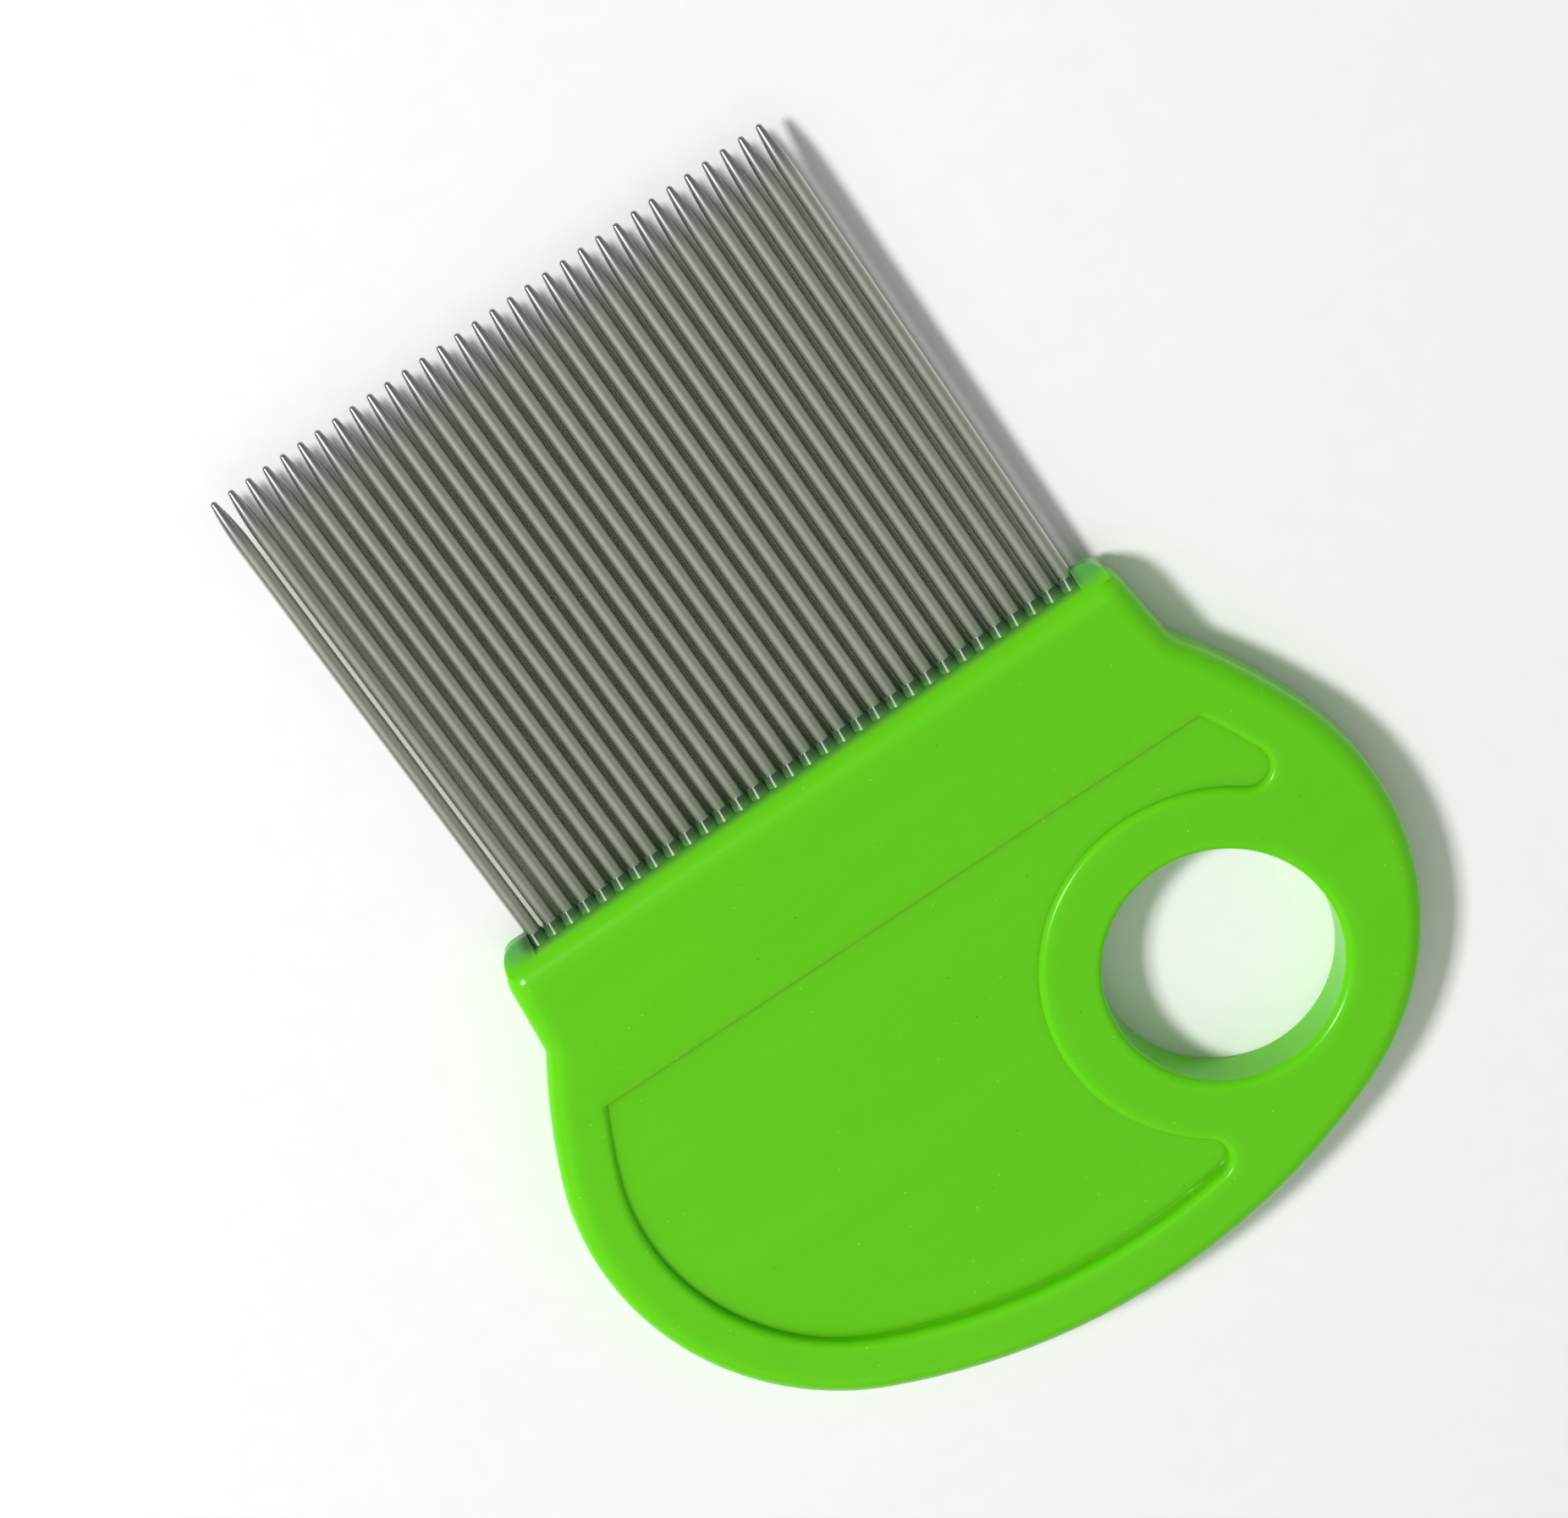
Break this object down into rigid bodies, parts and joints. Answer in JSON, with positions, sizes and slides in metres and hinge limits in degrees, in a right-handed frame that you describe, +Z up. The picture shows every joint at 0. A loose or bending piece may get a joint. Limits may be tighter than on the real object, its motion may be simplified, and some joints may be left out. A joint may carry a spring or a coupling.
{
  "type": "flea comb",
  "caption": "Flat one-hand flea comb: a row of fine tapered steel pins in the straight neck of an oval plastic handle with a finger hole and a recessed thumb panel.",
  "frame": {"origin": "centre of the plan box, on the underside that rests on a table", "axes": "+X along the row of pins, +Y from the handle to the pin tips, +Z up out of the flat handle"},
  "size_m": [0.075, 0.0974, 0.006],
  "materials": {
    "handle_plastic": "glossy lime-green injection-moulded plastic with softened edges",
    "pin_steel": "drawn steel wire, polished along its length, bright ground tips"
  },
  "bodies": {
    "root": {"handle": "handle_plastic", "tooth_01": "pin_steel", "tooth_02": "pin_steel", "tooth_03": "pin_steel", "tooth_04": "pin_steel", "tooth_05": "pin_steel", "tooth_06": "pin_steel", "tooth_07": "pin_steel", "tooth_08": "pin_steel", "tooth_09": "pin_steel", "tooth_10": "pin_steel", "tooth_11": "pin_steel", "tooth_12": "pin_steel", "tooth_13": "pin_steel", "tooth_14": "pin_steel", "tooth_15": "pin_steel", "tooth_16": "pin_steel", "tooth_17": "pin_steel", "tooth_18": "pin_steel", "tooth_19": "pin_steel", "tooth_20": "pin_steel", "tooth_21": "pin_steel", "tooth_22": "pin_steel", "tooth_23": "pin_steel", "tooth_24": "pin_steel", "tooth_25": "pin_steel", "tooth_26": "pin_steel", "tooth_27": "pin_steel", "tooth_28": "pin_steel", "tooth_29": "pin_steel", "tooth_30": "pin_steel", "tooth_31": "pin_steel", "tooth_32": "pin_steel"}
  },
  "joints": []
}
